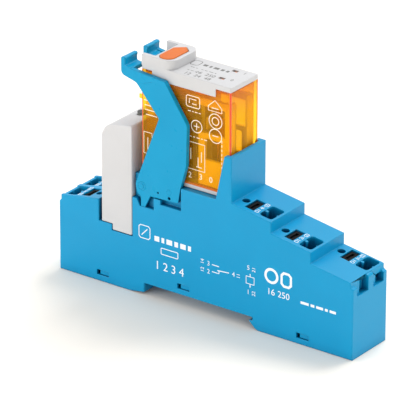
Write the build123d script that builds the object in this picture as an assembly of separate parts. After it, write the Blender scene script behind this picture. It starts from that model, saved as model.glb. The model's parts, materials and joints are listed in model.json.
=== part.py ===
from build123d import *
import math
import os

# Plug-in relay on its DIN rail socket, with retaining clip and indicator module.
# Millimetres. x runs along the socket from its coil end, y across it, z up from its foot.
# save() shifts x so that the origin ends up under the middle of the socket.

# Socket
socket_width = 15.8
wall = 1.2
end_wall = 1.3
edge_round = 0.25
terminal_pitch = 12.8
left_setback = 0.6
right_setback = 0.95
end_step_height = 20.4
carrier_places = ((-5.9, -0.75), (1.6, 6.4))
carrier_drop = 2.4
carrier_slot = 1.3
deck_height = 22.4
deck_angle = 9.0
deck_riser = 3.2
deck_depth = 6.0
relay_floor = 34.75
floor_thickness = 1.5
collar_wall = 1.3
collar_top = 47.75
collar_lip = 2.4
collar_lean = 2.75
bay_low_floor = 16.3
bay_high_floor = 18.05
bay_step = 3.45
bay_floor_thickness = 1.3
slip = 0.1
running_gap = 0.05
bench_gap = 0.3

# Rail seat
rail_opening = 35.9
rail_depth = 3.5
rail_flange = 1.0
rail_from_relay = 1.85
hook_reach = 1.3
foot_ramp = 4.8
foot_ramp_rise = 0.77
base_thickness = 1.4
latch_start = 3.2
latch_half = 3.5
latch_tongue = 0.6
latch_travel = 2.2

# Relay
relay_length = 29.2
relay_width = 12.4
relay_clearance = 0.2
cover_bottom = 35.95
cover_wall = 0.8
cap_bottom = 65.5
cap_top = 66.95
cap_skirt = 2.3
skirt_start = 3.45
skirt_end = 24.3
block_height = 2.65
block_length = 10.3
block_corner = 2.9
block_channel = 3.9
block_cheek = 1.2
base_plate = 1.6
blade_drop = 7.3
coil_blade_width = 2.6
coil_blade_thickness = 0.5
contact_blade_width = 4.4
contact_blade_thickness = 0.6
coil_blade_y = 3.75
coil_blade_x = 4.65
contact_blade_x = [16.75, 22.15, 27.15]

# Module
module_thickness = 10.25
module_gap = 0.95
module_clearance = 0.15
module_top = 48.6
module_crown = 5.0
module_fall = 1.6
module_wall = 0.9
module_inset = 0.1
module_blade_drop = 5.0
module_blade_x = 5.85
lens_setback = 3.65
board_from_lens = 2.6
relay_offset = 2.1

# Clip
clip_thickness = 1.3
clip_inset = 0.2
clip_play = 0.05
pivot_x = 1.05
pivot_height = 32.0
pivot_radius = 0.75
tab_width = 5.5
ejector_from_pivot = 10.7
ejector_size = 1.8

# Terminals, measured along the deck from its inner edge
probe_radius = 1.1
probe_places = (1.7, 2.5)
button_places = (4.65, 5.4)
button_length = 2.7
button_width = 5.5
button_recess = 0.35
button_travel = 1.5
button_flange = 0.5
entry_place = 10.2
entry_length = 4.0
entry_width = 6.4
entry_depth = 4.6
entry_ridge = 0.9
ridge_drop = 0.15
wire_radius = 1.3
near_terminal_y = -3.4
far_terminal_y = 4.05
coil_terminal_y = 3.85
clamp_width = 4.6
strip_thickness = 0.7
plate_below_deck = 14.3

# Test button and magnet
test_travel = 1.2
test_button_x = 6.75
test_button_radius = 2.3
test_button_near = -3.4
test_button_far = 4.35
button_head = 0.7
button_sink = 0.5
stem_half = 1.5
stem_gap = 0.85
flag_x = 23.4
flag_drop = 0.4
flag_places = (-2.0, 4.0)
pole_gap = 0.8
card_drop = 7.4
contact_gap = 0.63
contact_rest_gap = 0.08
armature_thickness = 1.2
yoke_thickness = 1.3
core_radius = 2.0
bobbin_radius = 2.9
winding_radius = 5.0
coil_x = 9.15
coil_bottom = 38.65
coil_height = 19.5
spring_thickness = 0.35
rivet_radius = 1.3

# Stations along x
x_bay = left_setback + terminal_pitch
x_module = x_bay + module_gap
x_module_end = x_module + module_thickness
x_bay_end = x_module_end + module_clearance
x_relay = x_bay_end + relay_offset
x_relay_end = x_relay + relay_length
x_collar = x_relay_end + relay_clearance
x_decks = [x_collar + collar_wall + i * terminal_pitch for i in range(3)]
x_deck_end = x_decks[2] + terminal_pitch
socket_length = x_deck_end + right_setback
x_rail = x_relay + rail_from_relay
x_rail_end = x_rail + rail_opening
x_pivot = x_relay + pivot_x
x_coil_blade = x_relay + coil_blade_x
x_contacts = [x_relay + x for x in contact_blade_x]
x_module_blade = x_module + module_blade_x
x_coil = x_relay + coil_x

# Heights and half widths
half = socket_width / 2
deck_fall = terminal_pitch * math.tan(math.radians(deck_angle))
deck_outer = [deck_height + (2 - i) * (deck_fall + deck_riser) for i in range(3)]
deck_inner = [z + deck_fall for z in deck_outer]
floor_under = relay_floor - floor_thickness
core_half = half - clip_inset - clip_thickness - clip_play
clip_outer = half - clip_inset
clip_inner = clip_outer - clip_thickness
ledge_height = relay_floor - 6.7
notch_low = relay_floor - 8.67
notch_high = relay_floor - 6.55
trough_start = x_pivot + 8.8
trough_end = x_pivot + 13.1
trough_floor = relay_floor - 1.95
relay_bottom = relay_floor + slip
relay_half = relay_width / 2
blade_end = relay_bottom - blade_drop
fork_top = floor_under - 0.25
block_top = cap_top + block_height
hinge_x = x_coil + 8.3
hinge_z = coil_bottom + coil_height + 1.6
pole_top = hinge_z - pole_gap
plate_levels = [z - plate_below_deck for z in deck_inner]
strip_low = deck_inner[2] - plate_below_deck
latch_top = rail_depth - rail_flange - running_gap
module_half = half - module_inset
module_seam = bay_high_floor + 2.2
lens_x = x_module_end - lens_setback
board_x = lens_x - board_from_lens
card_height = hinge_z - card_drop
moving_x = x_contacts[1]
rivet_height = card_height + 3.7
blade_level = relay_bottom + base_plate + 0.5

def box(x, y, z):
    """A box between pairs of limits."""
    size = Box(x[1] - x[0], y[1] - y[0], z[1] - z[0])
    return Pos((x[0] + x[1]) / 2, (y[0] + y[1]) / 2, (z[0] + z[1]) / 2) * size


def prism(outline, y):
    """An x-z outline carried across from y[0] to y[1]."""
    line = Polyline(*outline, close=True) if isinstance(outline, list) else outline
    face = Plane.XZ.offset(-y[0]) * make_face(line)
    return extrude(face, amount=y[0] - y[1])


def rounded(corners):
    """A closed outline from (x, z, corner radius) triples."""
    points = [(x, z) for x, z, r in corners]
    return FilletPolyline(*points, radius=[r for x, z, r in corners], close=True)


def ribbon(path, bend, thickness, y):
    """A strip that follows an x-z path, with rounded bends."""
    line = FilletPolyline(*path, radius=bend) if len(path) > 2 else Line(*path)
    face = Plane.XZ.offset(-y[0]) * trace(line, line_width=thickness)
    return extrude(face, amount=y[0] - y[1])


def post(x, y, z, radius):
    """An upright cylinder between two heights."""
    return Pos(x, y, (z[0] + z[1]) / 2) * Cylinder(radius, z[1] - z[0])


def across(x, z, y, radius):
    """A cylinder that lies across the socket."""
    return Pos(x, (y[0] + y[1]) / 2, z) * Rot(90, 0, 0) * Cylinder(radius, y[1] - y[0])


def both_sides(shape):
    return shape + mirror(shape, about=Plane.XZ)


def save(shape, node):
    export_step(Pos(-socket_length / 2, 0, 0) * shape, "parts/" + node + ".step")
    print(node, round(shape.volume, 2))


def terminal_frames():
    """Name, frame at the deck's inner edge on the terminal's centre line, and end: 0 contacts, 1 coil."""
    frames = []
    for i, y in enumerate([near_terminal_y, near_terminal_y, far_terminal_y]):
        frames.append((str(i + 1), Pos(x_decks[i], y, deck_inner[i]) * Rot(0, deck_angle, 0), 0))
    for name, y in (("4", -coil_terminal_y), ("5", coil_terminal_y)):
        frames.append((name, Pos(x_bay, y, deck_inner[2]) * Rot(0, 0, 180) * Rot(0, deck_angle, 0), 1))
    return frames


# Socket housing

def housing_outline():
    outline = [(0, 0), (x_rail - foot_ramp, 0), (x_rail, foot_ramp_rise), (x_rail, rail_depth)]
    outline += [(x_rail_end, rail_depth)] + hook_outline()
    outline += [(socket_length, 0), (socket_length, end_step_height)]
    outline += [(x_deck_end, end_step_height + 0.6), (x_deck_end, deck_outer[2])]
    for i in (2, 1):
        outline += [(x_decks[i], deck_inner[i]), (x_decks[i], deck_outer[i - 1])]
    outline += [(x_decks[0], deck_inner[0]), (x_decks[0], collar_top)]
    lip = x_decks[0] - collar_lip
    outline += [(lip, collar_top), (lip - collar_lean, relay_floor), (x_bay_end, relay_floor)]
    step = x_bay + module_gap + bay_step
    outline += [(x_bay_end, bay_low_floor), (step, bay_low_floor), (step, bay_high_floor)]
    outline += [(x_bay, bay_high_floor), (x_bay, deck_inner[2]), (left_setback, deck_outer[2])]
    outline += [(left_setback, end_step_height + 0.6), (0, end_step_height)]
    return outline


def hook_outline():
    """The fixed hook that holds the rail's far flange."""
    under = rail_depth - rail_flange
    return [(x_rail_end, under), (x_rail_end - hook_reach, under - 0.1),
            (x_rail_end + 0.6, 0.6), (x_rail_end + 1.6, 0)]


def terminal_cuts(end):
    """Probe hole, button slot and double wire entry of one terminal, in its deck's frame."""
    through = (-2 * deck_depth, 1)
    probe = post(probe_places[end], 0, (-deck_depth, 1), probe_radius)
    key = button_places[end]
    slot = box((key - button_length / 2 - slip, key + button_length / 2 + slip),
               (-button_width / 2 - slip, button_width / 2 + slip), through)
    mouth = Pos(entry_place, 0) * RectangleRounded(entry_length, entry_width, 0.8)
    inner_x = entry_place - entry_length / 2
    ridged = mouth - Pos(inner_x, 0) * RectangleRounded(2 * entry_ridge, 0.9, 0.4)
    ridged -= Pos(inner_x + entry_length, 0) * RectangleRounded(entry_ridge, 0.6, 0.25)
    entry = Pos(0, 0, -entry_depth) * extrude(ridged, amount=entry_depth)
    entry += Pos(0, 0, -ridge_drop) * extrude(mouth, amount=ridge_drop + 1)
    cuts = probe + slot + entry
    for side in (-1, 1):
        y = side * (entry_width / 4 + 0.15)
        cuts += post(entry_place, y, (-2 * deck_depth, -entry_depth), wire_radius)
    return cuts


def end_slots(x_face, toward, depth):
    """Label carrier recesses in an end face, each with a slot of this depth; toward is the way out."""
    low = end_step_height - carrier_drop
    cuts = []
    for (y_from, y_to), slot_top in zip(carrier_places, (deck_height - 0.3, end_step_height)):
        x = sorted((x_face, x_face + toward * 2))
        cuts.append(box(x, (y_from, y_to), (low, end_step_height + 1)))
        x = sorted((x_face - toward * depth, x_face + toward * 2))
        if depth:
            cuts.append(box(x, (y_from + 2.3, y_to), (low, slot_top)))
    return cuts


def carrier_rib():
    """Upright rib between the label carriers of the contact end, level with the last deck."""
    top = deck_height - 0.1
    outline = [(x_deck_end - 0.5, end_step_height - 1), (socket_length, end_step_height - 1),
               (socket_length, top - 0.5), (socket_length - 0.5, top), (x_deck_end - 0.5, top)]
    return prism(outline, (carrier_places[0][1], carrier_places[1][0]))


def clip_recess():
    """Side recess with two notches, in which one clip arm swings."""
    outline = [(x_bay_end - 0.01, ledge_height), (x_pivot - 1.7, ledge_height),
               (x_pivot - 0.6, notch_low), (x_pivot + 4.03, notch_low),
               (x_pivot + 4.03, relay_floor - 5.25), (x_pivot + 6.24, relay_floor - 5.25),
               (x_pivot + 6.24, notch_high), (trough_end, notch_high),
               (trough_end, relay_floor + 1), (x_bay_end - 0.01, relay_floor + 1)]
    return prism(outline, (core_half, half + 1))


def deck_ceiling(i):
    """The underside of a right-hand deck, from its inner to its outer edge."""
    outer_x = x_decks[i + 1] if i < 2 else x_deck_end - end_wall
    return [(x_decks[i], deck_inner[i] - deck_depth), (outer_x, deck_outer[i] - deck_depth)]


def housing_cavities():
    side = half - wall
    low = notch_low - end_wall
    outline = [(end_wall, -1), (end_wall, deck_outer[2] - deck_depth),
               (x_bay - wall, deck_inner[2] - deck_depth - 0.2),
               (x_bay - wall, bay_low_floor - bay_floor_thickness),
               (x_bay_end + wall, bay_low_floor - bay_floor_thickness), (x_bay_end + wall, low),
               (trough_end + 0.9, low), (trough_end + 0.9, floor_under), (x_collar, floor_under)]
    outline += [(x_collar, deck_inner[0] - deck_depth)]
    for i in range(3):
        outline += deck_ceiling(i)
    outline += [(x_deck_end - end_wall, bay_low_floor - 1), (socket_length - end_wall, bay_low_floor - 1)]
    outline += [(socket_length - end_wall, -1)]
    lower = prism(outline, (-side, side))
    inner = core_half - 1.6
    upper = box((x_bay_end + wall, trough_start - 0.9), (-inner, inner), (low - 1, floor_under))
    under_trough = box((trough_start - 1, trough_end + 1), (-inner, inner), (low - 1, trough_floor - 1.2))
    return lower + upper + under_trough


def socket_housing():
    body = prism(housing_outline(), (-half, half))
    body = fillet(body.edges().filter_by(Axis.Y, reverse=True), edge_round)
    body += carrier_rib()
    seat = relay_half + slip
    body -= box((x_relay - 1, x_collar), (-seat, seat), (relay_floor, collar_top + 1))
    body -= both_sides(clip_recess())
    body -= box((trough_start, trough_end), (-half - 1, half + 1), (trough_floor, relay_floor + 1))
    body -= housing_cavities()
    for name, frame, end in terminal_frames():
        body -= frame * terminal_cuts(end)
    for cut in end_slots(x_deck_end, 1, carrier_slot) + end_slots(left_setback, -1, 0):
        body -= cut
    for y in (-coil_terminal_y, coil_terminal_y):
        y_half = entry_width / 2 - 0.1
        body -= box((-1, 1.6), (y - y_half, y + y_half), (deck_height - 0.3, deck_height + 2))
    for x, y_half in blade_slots():
        body -= x_slot(x, y_half, (fork_top - 1, relay_floor + 1))
    for side in (-1, 1):
        body -= coil_slot(x_coil_blade, side, (fork_top - 1, relay_floor + 1))
        body -= coil_slot(x_module_blade, side, (bay_low_floor - 3, bay_low_floor + 1))
    for side in (-1, 1):
        ys = sorted((side * (core_half + 1), side * (core_half - 1.1)))
        body -= across(x_pivot, pivot_height, ys, pivot_radius + running_gap)
    for x, z in windows():
        body -= box((x, x + 4.0), (-half - 1, half + 1), (z, z + 1.5))
    body -= latch_channel((-1, x_rail + 1))
    return body


def blade_slots():
    return [(x, contact_blade_width / 2 + bench_gap) for x in x_contacts]


def x_slot(x, y_half, z):
    x_half = contact_blade_thickness / 2 + 0.2
    return box((x - x_half, x + x_half), (-y_half, y_half), z)


def coil_slot(x, side, z):
    y = side * coil_blade_y
    x_half = coil_blade_width / 2 + 0.2
    return box((x - x_half, x + x_half), (y - 0.45, y + 0.45), z)


def blade_hole(x, y, size, z):
    """A slot that clears a blade of this (x, y) size by the running gap."""
    x_half, y_half = size[0] / 2 + running_gap, size[1] / 2 + running_gap
    return box((x - x_half, x + x_half), (y - y_half, y + y_half), z)


def windows():
    """Near corner of each snap window, as (x, z)."""
    return [(x_bay - 0.75, 1.8), (trough_end - 1.2, rail_depth + 1.6), (x_decks[1] + 8.55, 1.7)]


# Socket base and rail latch

def latch_channel(x):
    grow = slip
    cut = box(x, (-latch_half - grow, latch_half + grow), (-1, latch_top + grow))
    return cut


def socket_base():
    inset = end_wall + running_gap
    t = base_thickness
    outline = [(inset, 0), (x_rail - foot_ramp, 0), (x_rail, foot_ramp_rise), (x_rail, rail_depth)]
    outline += [(x_rail_end, rail_depth)] + hook_outline()
    outline += [(socket_length - inset, 0), (socket_length - inset, t), (x_rail_end + t, t)]
    outline += [(x_rail_end + t, rail_depth + t), (x_rail - t, rail_depth + t)]
    outline += [(x_rail - t, foot_ramp_rise + t), (inset, t)]
    side = half - wall - running_gap
    base = prism(outline, (-side, side))
    base += box((inset, x_rail - t), (-latch_half - 1.4, latch_half + 1.4), (0, rail_depth + 0.4))
    for x, z in windows():
        for s in (-1, 1):
            ys = sorted((s * (side - 0.5), s * (half - 0.4)))
            base += box((x + 0.9, x + 3.9), ys, (z + 0.1, z + 1.4))
            ys = sorted((s * (side - 1.2), s * side))
            base += box((x + 0.9, x + 3.9), ys, (max(z - 1.6, 0), z + 1.9))
    base -= latch_channel((-1, x_rail + 1))
    groove = box((latch_start + 1.4 - latch_travel - 0.3, latch_start + 20.4),
                 (-latch_half - latch_tongue - slip, latch_half + latch_tongue + slip), (1.0, 2.1))
    base -= groove
    base += box((latch_start + 7.0, latch_start + 8.2), (-1.3, 1.3), (0.5, rail_depth))
    for x, y, z in pillars():
        base += box((x - 1.2, x + 1.2), y, (0.5, z))
    return base


def din_latch():
    """Slider with a driver eye at the socket's end and a nose under the rail's near flange."""
    z_low = 0.35
    nose = x_rail + hook_reach
    outline = [(latch_start, z_low), (x_rail - 0.9, z_low), (x_rail - 0.9, 1.0), (nose, 1.9),
               (nose, latch_top), (latch_start, latch_top)]
    latch = prism(outline, (-latch_half, latch_half))
    tongue_y = latch_half + latch_tongue
    latch += box((latch_start + 1.4, latch_start + 20), (-tongue_y, tongue_y), (1.1, 2.0))
    latch -= box((latch_start + 4.5, latch_start + 17), (-1.5, 1.5), (-1, rail_depth))
    latch -= post(latch_start + 2.3, 0, (-1, rail_depth), 1.2)
    return latch


def din_latch_spring():
    """Hairpin leaf between the base's peg and the latch."""
    path = [(latch_start + 8.4, 1.1), (latch_start + 11.0, 2.6), (latch_start + 14.3, 2.6)]
    flat = [(x, y - 1.85) for x, y in path]
    line = FilletPolyline(*flat, radius=0.8)
    leaf = Pos(0, 0, 1.0) * extrude(trace(line, line_width=0.3), amount=0.9)
    return leaf


# Terminals

def release_button(end):
    """In its deck's frame: a rectangular key with a driver slot and a retaining flange."""
    x, y = button_length / 2, button_width / 2
    low = -deck_depth - 1.0
    neck = -deck_depth + button_travel + slip
    place = Pos(button_places[end], 0)
    key = place * box((-x, x), (-y, y), (neck, -button_recess))
    key = chamfer(key.edges().group_by(Axis.Z)[-1], 0.2)
    key += place * box((-x, x), (-y + 0.4, y - 0.4), (low, neck + 0.1))
    key += place * box((-x - button_flange, x), (-y + 0.4, y - 0.4), (low, low + 0.75))
    key -= place * box((-0.4, 0.4), (-1.7, 1.7), (-button_recess - 0.6, 1))
    return key


def clamp_spring(x_button, x_entry, z, y):
    """Cage of spring steel: its free leg bears on the post beside the wire."""
    d = 1 if x_entry > x_button else -1
    path = [(x_entry + d * 0.4, z + 0.3), (x_button - d * 1.6, z + 0.3), (x_button - d * 2.3, z + 4.0),
            (x_button + d * 1.2, z + 4.0), (x_entry + d * 0.9, z + 1.6)]
    return ribbon(path, 0.7, 0.35, (y - clamp_width / 2, y + clamp_width / 2))


def contact_busbar(i, y_terminal):
    """From the fork around one contact blade, down and out to its terminal."""
    x, z = x_contacts[i], plate_levels[2 - i]
    x_end = x_decks[2 - i] + entry_place
    y_fork = contact_blade_width / 2
    t = strip_thickness
    low = blade_end - bench_gap - t
    bar = box((x - 0.9, x + 0.9), (-y_fork, y_fork), (low, low + t))
    for s in (-1, 1):
        inner = contact_blade_thickness / 2 + running_gap
        xs = sorted((x + s * inner, x + s * (inner + 0.5)))
        bar += box(xs, (-y_fork, y_fork), (low, fork_top))
    bar += ribbon([(x, low + t / 2), (x, z - t / 2), (x_end + 1, z - t / 2)], 1.0, t, (-y_fork, y_fork))
    ys = (y_terminal - clamp_width / 2, y_terminal + clamp_width / 2)
    x_post = x_end + 1.85
    bar += ribbon([(x_end - 9.5, z - t / 2), (x_post, z - t / 2), (x_post, z + 5.0)], 0.8, t, ys)
    return bar


def coil_busbar(side):
    """Strip on edge from a coil terminal past the module blade to the relay's coil blade."""
    z = strip_low
    t = strip_thickness
    y_in = coil_blade_y + coil_blade_thickness / 2 + running_gap
    leaf_out = coil_blade_y - coil_blade_thickness / 2 - running_gap
    riser = x_coil_blade + coil_blade_width / 2 + 0.4
    bay_under = bay_low_floor - bay_floor_thickness
    outline = [(x_bay - 1.9, z - t), (riser, z - t), (riser, fork_top), (x_coil_blade - 1.7, fork_top),
               (x_coil_blade - 1.7, bay_under - 0.4), (x_bay - 1.9, bay_under - 0.4)]
    bar = prism(outline, (y_in, y_in + 0.6))
    for x, low, top in ((x_coil_blade, blade_end - bench_gap, fork_top),
                        (x_module_blade, bay_low_floor - module_blade_drop - 0.2, bay_under - 0.4)):
        bar += box((x - 1.1, x + 1.1), (leaf_out - 0.4, leaf_out), (low - 0.7, top))
        bar += box((x - 1.1, x + 1.1), (leaf_out - 0.4, y_in + 0.1), (low - 0.7, low))
    ys = (coil_terminal_y - clamp_width / 2, coil_terminal_y + clamp_width / 2)
    x_post = end_wall + running_gap + t / 2
    bar += ribbon([(x_bay - 1.0, z - t / 2), (x_post, z - t / 2), (x_post, z + 5.0)], 0.8, t, ys)
    return bar if side > 0 else mirror(bar, about=Plane.XZ)


def pillars():
    """Props that carry the busbars: centre x, limits in y, top."""
    t = strip_thickness
    props = []
    for i, y in ((0, near_terminal_y), (1, near_terminal_y), (2, far_terminal_y)):
        s = 1 if y > 0 else -1
        ys = sorted((y + s * 0.3, y + s * (clamp_width / 2 - 0.1)))
        props.append((x_decks[i] + entry_place - 3, ys, plate_levels[i] - t))
    for s in (-1, 1):
        ys = sorted((s * (latch_half + 1.45), s * (coil_terminal_y + clamp_width / 2 - 0.1)))
        props.append((x_bay - entry_place + 3, ys, strip_low - t))
    return props


# Retaining clip

def clip_outline():
    x, z = x_pivot, pivot_height
    return rounded([
        (x - 6.75, z + 31.0, 1.5), (x - 1.7, z + 29.7, 2.5), (x + 5.75, z + 21.0, 0.8),
        (x - 2.1, z + 0.2, 1.3), (x - 1.5, z - 2.4, 1.0), (x - 0.3, z - 3.0, 0.3),
        (x - 0.3, z - 5.9, 0.15), (x + 1.05, z - 5.9, 0.15), (x + 2.8, z - 2.3, 0.3),
        (x + 12.0, z - 1.95, 0.5), (x + 12.85, z + 2.6, 2.5), (x + 14.7, z + 9.5, 6.0),
        (x + 15.0, z + 21.3, 2.5), (x + 7.6, z + 32.1, 0.3), (x - 3.6, z + 33.1, 0.3),
        (x - 3.6, z + 33.4, 0.2), (x - 5.5, z + 33.6, 0.4), (x - 5.5, z + 35.9, 0.35),
        (x - 6.75, z + 35.9, 0.35)])


def finger_tab():
    """The hooked end of an arm, turned inwards for a finger."""
    x, z = x_pivot, pivot_height
    return rounded([
        (x - 6.75, z + 35.9, 0.5), (x - 6.75, z + 32.2, 0.8), (x - 5.6, z + 31.7, 0.4),
        (x - 3.6, z + 31.9, 0.3), (x - 3.6, z + 33.2, 0.35), (x - 5.5, z + 33.5, 0.5),
        (x - 5.5, z + 34.7, 0.3), (x - 5.2, z + 35.9, 0.4)])


def retaining_clip():
    arm = prism(clip_outline(), (clip_inner, clip_outer))
    arm += prism(finger_tab(), (clip_outer - tab_width, clip_outer - 0.1))
    arm += across(x_pivot, pivot_height, (clip_inner - 1.0, clip_inner + 0.1), pivot_radius)
    arm += across(x_pivot, pivot_height, (clip_outer - 0.1, clip_outer + 0.08), pivot_radius - 0.1)
    for dx, dz, r in ((5.4, -0.6, 0.3), (9.1, -1.3, 0.45)):
        arm -= across(x_pivot + dx, pivot_height + dz, (clip_inner - 1, half + 1), r)
    clip = both_sides(arm)
    bar_x = x_pivot + ejector_from_pivot
    clip += box((bar_x, bar_x + ejector_size), (-clip_inner - 0.1, clip_inner + 0.1),
                (trough_floor + 0.25, relay_floor - 0.2))
    return clip


# Indicator module

def module_outline(grow=0.0):
    """Outline of the module, moved inwards by grow."""
    g = grow
    low = bay_low_floor + module_clearance
    high = bay_high_floor + module_clearance
    step = x_bay + module_gap + bay_step + module_clearance
    return rounded([
        (x_module + g, high + g, 0.2), (step + g, high + g, 0.15), (step + g, low + g, 0.2),
        (x_module_end - g, low + g, 0.6), (x_module_end - g, module_top - g, 0.5),
        (x_module + g, module_top - module_fall - g, module_crown - g)])


def module_housing():
    shell = prism(module_outline(), (-module_half, module_half))
    shell = fillet(shell.edges().filter_by(Axis.Y, reverse=True), 0.35)
    room = prism(module_outline(module_wall), (-module_half + module_wall, module_half - module_wall))
    shell -= room
    step = x_bay + module_gap + bay_step + module_clearance
    ends = (-module_half + module_wall, module_half - module_wall)
    shell -= box((x_module + module_wall, step + module_wall), ends, (bay_high_floor - 1, module_seam))
    shell -= box((step + module_wall, x_module_end - module_wall), ends, (bay_low_floor - 1, module_seam))
    shell -= post(lens_x, 2.0, (module_top - 4, module_top + 1), 1.5)
    return shell


def module_base():
    gap = running_gap
    low = bay_low_floor + module_clearance
    high = bay_high_floor + module_clearance
    step = x_bay + module_gap + bay_step + module_clearance + module_wall
    ys = (-module_half + module_wall + gap, module_half - module_wall - gap)
    base = box((x_module + module_wall + gap, step + 1), ys, (high, module_seam))
    base += box((step + gap, x_module_end - module_wall - gap), ys, (low, module_seam))
    for s in (-1, 1):
        base -= module_blade(s, running_gap)
    return base


def module_blade(side, grow=0.0):
    g = grow
    low = bay_low_floor + module_clearance - module_blade_drop
    y = side * coil_blade_y
    half_t = coil_blade_thickness / 2
    return box((x_module_blade - coil_blade_width / 2 - g, x_module_blade + coil_blade_width / 2 + g),
               (y - half_t - g, y + half_t + g), (low - g, module_seam + 4 + g))


def module_blades():
    return both_sides(chamfer(module_blade(1).edges().group_by(Axis.Z)[0].filter_by(Axis.X), 0.2))


def module_board():
    return box((board_x - 0.8, board_x), (-6.0, 6.0), (module_seam + 0.1, module_top - 6.5))


def module_lens():
    """Light guide from the lamp to the crown of the module."""
    x, y = lens_x, 2.0
    lens = post(x, y, (module_top - 6.4, module_top - 0.1), 1.4)
    return lens + post(x, y, (module_top - 6.4, module_top - 2.6), 1.9)


def module_lamp():
    lamp = post(lens_x, 2.0, (module_top - 12.0, module_top - 6.5), 1.5)
    return lamp + post(lens_x, 2.0, (module_top - 12.0, module_top - 11.2), 1.9)


def suppressor_disc():
    disc = Pos(board_x + 1.6, -1.6, module_top - 20) * Rot(0, 90, 0) * Cylinder(3.6, 2.2)
    return fillet(disc.edges(), 0.6)


def series_resistor():
    body = Pos(board_x + 1.5, 4.2, module_top - 17) * Cylinder(1.1, 6.0)
    return fillet(body.edges(), 0.5)


# Relay shell

shell_y = (-relay_half, relay_half)


def relay_base():
    x = (x_relay + 0.1, x_relay_end - 0.1)
    base = box(x, (-relay_half + 0.05, relay_half - 0.05), (relay_bottom, cover_bottom - 0.02))
    inner = cover_wall + running_gap
    base += box((x_relay + inner, x_relay_end - inner), (-relay_half + inner, relay_half - inner),
                (relay_bottom, relay_bottom + base_plate))
    through = (relay_bottom - 1, relay_bottom + base_plate + 1)
    for xc in x_contacts:
        base -= blade_hole(xc, 0, (contact_blade_thickness, contact_blade_width), through)
    for s in (-1, 1):
        base -= blade_hole(x_coil_blade, s * coil_blade_y, (coil_blade_width, coil_blade_thickness), through)
    return base


def relay_cover():
    cover = box((x_relay, x_relay_end), shell_y, (cover_bottom, cap_bottom - 0.02))
    cover = fillet(cover.edges().filter_by(Axis.Z), 0.3)
    w = cover_wall
    cover -= box((x_relay + w, x_relay_end - w), (-relay_half + w, relay_half - w), (0, cap_top))
    cover -= box((x_relay + skirt_start, x_relay + skirt_end), (-relay_half - 1, relay_half + 1),
                 (cap_bottom - cap_skirt - 0.02, cap_top))
    for y in (-5.0, 5.0):
        nub = Polygon((0.1, -0.6), (0.1, 0.6), (-1.6, 0.2), (-1.6, -0.2), align=None)
        cover += extrude(Plane.XY.offset(cap_bottom - 9.3) * Pos(x_relay, y) * nub, amount=1.2)
    return cover


def button_outline(grow):
    """Plan of the test button: round at the near end, pointed at the far end."""
    x = x_relay + test_button_x
    r = test_button_radius + grow
    near, far = test_button_near, test_button_far + grow
    point = Polygon((-r, near), (r, near), (r, far - 1.9), (0.35, far), (-r, far - 2.3), align=None)
    return Pos(x, near) * Circle(r) + Pos(x, 0) * point


def relay_cap():
    x0 = x_relay
    cap = box((x0, x_relay_end), shell_y, (cap_bottom, cap_top))
    cap = fillet(cap.edges().filter_by(Axis.Z), 0.3)
    cap = fillet(cap.edges().group_by(Axis.Z)[-1], 0.25)
    for s in (-1, 1):
        ys = sorted((s * relay_half, s * (relay_half - cover_wall - 0.02)))
        skirt_z = (cap_bottom - cap_skirt, cap_bottom + 0.1)
        cap += box((x0 + skirt_start + 0.03, x0 + skirt_end - 0.03), ys, skirt_z)
    inner = cover_wall + running_gap
    cap += box((x0 + inner, x_relay_end - inner), (-relay_half + inner, relay_half - inner),
               (cap_bottom - 0.9, cap_bottom + 0.1))
    block = box((x0, x0 + block_length), shell_y, (cap_top - 0.4, block_top))
    block = fillet(block.edges().filter_by(Axis.Z).group_by(Axis.X)[-1], block_corner)
    inner = relay_half - block_cheek
    block -= box((x0 - 1, x0 + block_channel), (-inner, inner), (cap_top, block_top + 1))
    block = fillet(block.edges().group_by(Axis.Z)[-1], 0.15)
    cap += block
    pocket = Plane.XY.offset(block_top - button_sink - test_travel - 0.15) * button_outline(0.15)
    cap -= extrude(pocket, amount=5)
    stem = stem_half + slip
    xs = x_relay + test_button_x
    cap -= box((xs - stem, xs + stem), (-stem, stem), (cap_bottom - 2, block_top))
    for y in flag_places:
        cap -= box((x0 + flag_x - 1.0, x0 + flag_x + 0.8), (y - 0.6, y + 0.6), (cap_bottom - 2, cap_top + 1))
    return cap


def test_button():
    low = block_top - button_sink
    head = extrude(Plane.XY.offset(low) * button_outline(0), amount=button_head)
    head = fillet(head.edges().group_by(Axis.Z)[-1], 0.2)
    xs = x_relay + test_button_x
    under_cap = cap_bottom - 0.9
    head += box((xs - stem_half, xs + stem_half), (-stem_half, stem_half),
                (hinge_z + armature_thickness + stem_gap, low + 0.1))
    head += box((xs - stem_half, xs + stem_half + 0.5), (-stem_half, stem_half),
                (under_cap - 0.9, under_cap - 0.1))
    return head


# Magnet

def coil_bobbin():
    z0, z1 = coil_bottom, coil_bottom + coil_height
    body = post(x_coil, 0, (z0, z1), bobbin_radius)
    for z in (z0, z1 - 1):
        flange = box((x_coil - 6.6, x_coil + 6.2), (-5.2, 5.2), (z, z + 1))
        body += fillet(flange.edges().filter_by(Axis.Z), 0.6)
    leg = box((x_coil - 6.6, x_coil - 2.7), (2.6, 5.2), (relay_bottom + base_plate, z0 + 0.1))
    body += both_sides(leg)
    for s in (-1, 1):
        size = (coil_blade_width, coil_blade_thickness)
        body -= blade_hole(x_coil_blade, s * coil_blade_y, size, (relay_bottom, z0 + 0.5))
    return body - post(x_coil, 0, (z0 - 1, z1 + 1), core_radius + running_gap)


def coil_winding():
    z0, z1 = coil_bottom + 1, coil_bottom + coil_height - 1
    body = post(x_coil, 0, (z0 + 0.05, z1 - 0.05), winding_radius)
    return body - post(x_coil, 0, (z0 - 1, z1 + 1), bobbin_radius + running_gap)


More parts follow.
